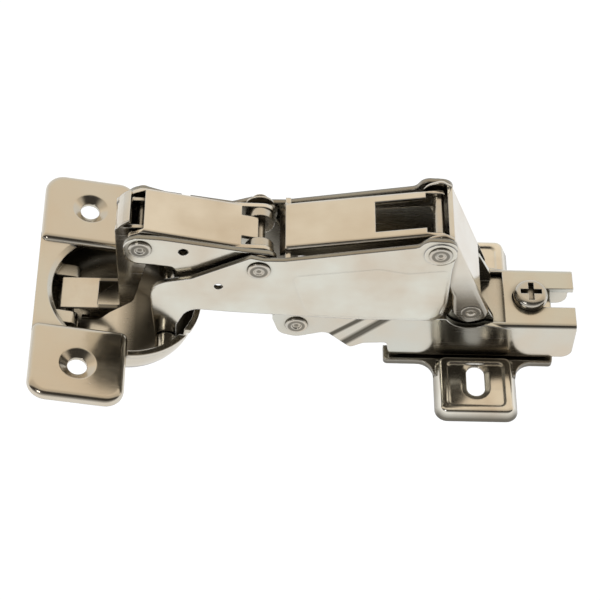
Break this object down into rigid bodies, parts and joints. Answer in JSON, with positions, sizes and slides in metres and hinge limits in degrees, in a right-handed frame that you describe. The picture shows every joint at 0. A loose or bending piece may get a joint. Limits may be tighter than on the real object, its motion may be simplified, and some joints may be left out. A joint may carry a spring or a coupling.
{
  "type": "wide-angle concealed cabinet hinge",
  "caption": "Wide-angle concealed cabinet hinge: round door cup on folding pressed-steel levers, with a slide-on arm and a winged mounting plate.",
  "frame": {"origin": "middle of the two plate screws on the mounting plate's back face", "axes": "+X along the arm towards its tail, -X towards the door cup, +Y along the pivot pins, +Z out of the cabinet side"},
  "size_m": [0.1254, 0.064, 0.0465],
  "materials": {
    "nickel_plate": "bright nickel-plated pressed steel",
    "rivet_steel": "nickel-plated rivets",
    "screw_steel": "nickel-plated screw"
  },
  "bodies": {
    "plate": {"mounting_plate": "nickel_plate"},
    "arm": {"hinge_arm": "nickel_plate", "pivot_bracket": "nickel_plate", "arm_pivot_pin": "rivet_steel"},
    "screw": {"fixing_screw": "screw_steel"},
    "crank": {"crank_channel": "nickel_plate", "crank_plate_near": "nickel_plate", "crank_plate_far": "nickel_plate", "cross_washer_near": "nickel_plate", "cross_washer_far": "nickel_plate", "cross_collar_near": "nickel_plate", "cross_collar_far": "nickel_plate", "cup_link_pin": "rivet_steel", "cross_pin": "rivet_steel"},
    "side_lever": {"side_plate_near": "nickel_plate", "side_plate_far": "nickel_plate", "side_cover": "nickel_plate", "rear_pin": "rivet_steel"},
    "rear": {"rear_link": "nickel_plate", "rear_foot_pin": "rivet_steel"},
    "cup_side_link": {"cup_link": "nickel_plate"},
    "cup_body": {"cup": "nickel_plate", "cup_front_pin": "rivet_steel", "cup_rear_pin": "rivet_steel"}
  },
  "joints": [
    {"name": "depth_adjust", "type": "slide", "parent": "plate", "child": "arm", "axis": [1, 0, 0], "range_m": [-0.0015, 0.0015]},
    {"name": "screw_turn", "type": "hinge", "parent": "plate", "child": "screw", "pos_m": [0.0124, 0, 0.015], "axis": [0, 0, 1], "continuous": true},
    {"name": "crank_fold", "type": "hinge", "parent": "arm", "child": "crank", "pos_m": [-0.0422, 0, 0.012], "axis": [0, 1, 0], "range_deg": [-40, 66]},
    {"name": "rear_link_turn", "type": "hinge", "parent": "arm", "child": "rear", "pos_m": [-0.0024, 0, 0.0191], "axis": [0, 1, 0], "range_deg": [-40, 66]},
    {"name": "side_lever_turn", "type": "hinge", "parent": "crank", "child": "side_lever", "pos_m": [-0.0512, 0, 0.0351], "axis": [0, 1, 0], "range_deg": [-66, 40]},
    {"name": "cup_turn", "type": "hinge", "parent": "side_lever", "child": "cup_body", "pos_m": [-0.0723, 0, 0.0088], "axis": [0, 1, 0], "range_deg": [-48, 79.2]},
    {"name": "cup_link_turn", "type": "hinge", "parent": "crank", "child": "cup_side_link", "pos_m": [-0.0775, 0, 0.0395], "axis": [0, 1, 0], "range_deg": [-66, 40]}
  ],
  "couplings": [
    {"joint": "rear_link_turn", "follows": "crank_fold", "ratio": 1},
    {"joint": "side_lever_turn", "follows": "crank_fold", "ratio": -1},
    {"joint": "cup_turn", "follows": "crank_fold", "ratio": 1.2},
    {"joint": "cup_link_turn", "follows": "crank_fold", "ratio": -1}
  ]
}
